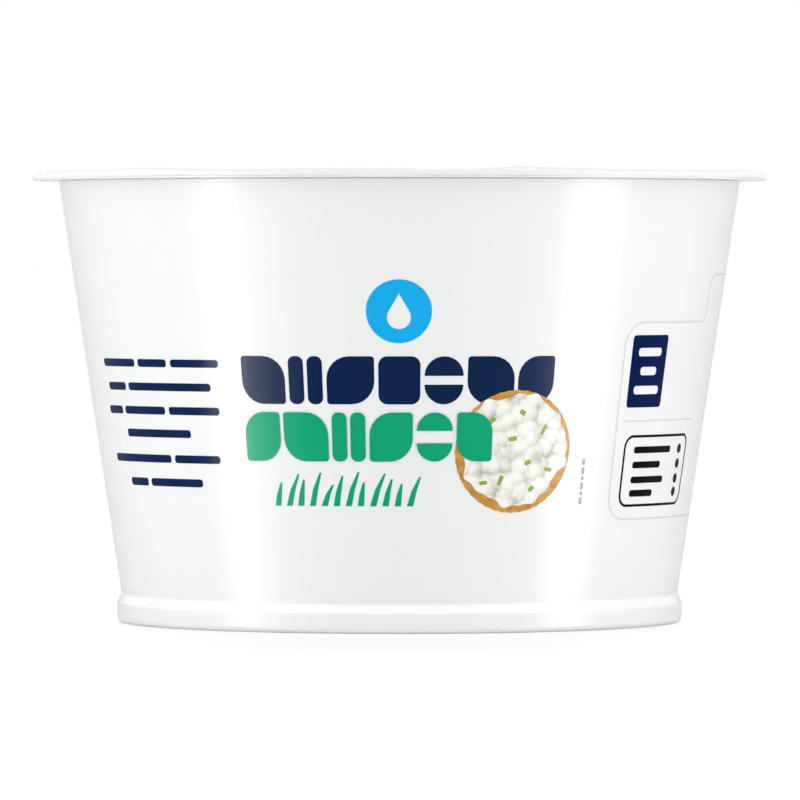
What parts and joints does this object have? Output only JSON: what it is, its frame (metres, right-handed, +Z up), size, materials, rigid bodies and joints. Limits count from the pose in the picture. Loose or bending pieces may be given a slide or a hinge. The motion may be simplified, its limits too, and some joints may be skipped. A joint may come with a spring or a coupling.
{
  "type": "sealed cottage cheese tub",
  "caption": "Shut white plastic tub of cottage cheese: tapered round wall, foot band, thin flange and a heat-sealed film lid with its pull tab folded down.",
  "frame": {"origin": "centre of the flat ring that the tub stands on", "axes": "+Z up along the tub's axis; the printed front faces -Y; +X is to the right seen from the front"},
  "size_m": [0.095, 0.0956, 0.0584],
  "materials": {
    "tub_plastic": "white moulded plastic, satin gloss",
    "lid_film": "white sealing film, satin, softly wrinkled at the edge",
    "ink_navy": "dark blue print under the satin surface",
    "ink_green": "green print under the satin surface",
    "ink_blue": "bright blue print under the satin surface",
    "ink_tan": "baked tan print under the satin surface",
    "ink_cream": "cream print under the satin surface",
    "ink_grey": "light grey print under the satin surface",
    "ink_black": "near-black print under the satin surface"
  },
  "bodies": {
    "root": {"tub": "tub_plastic", "lid_film": "lid_film"}
  },
  "joints": []
}
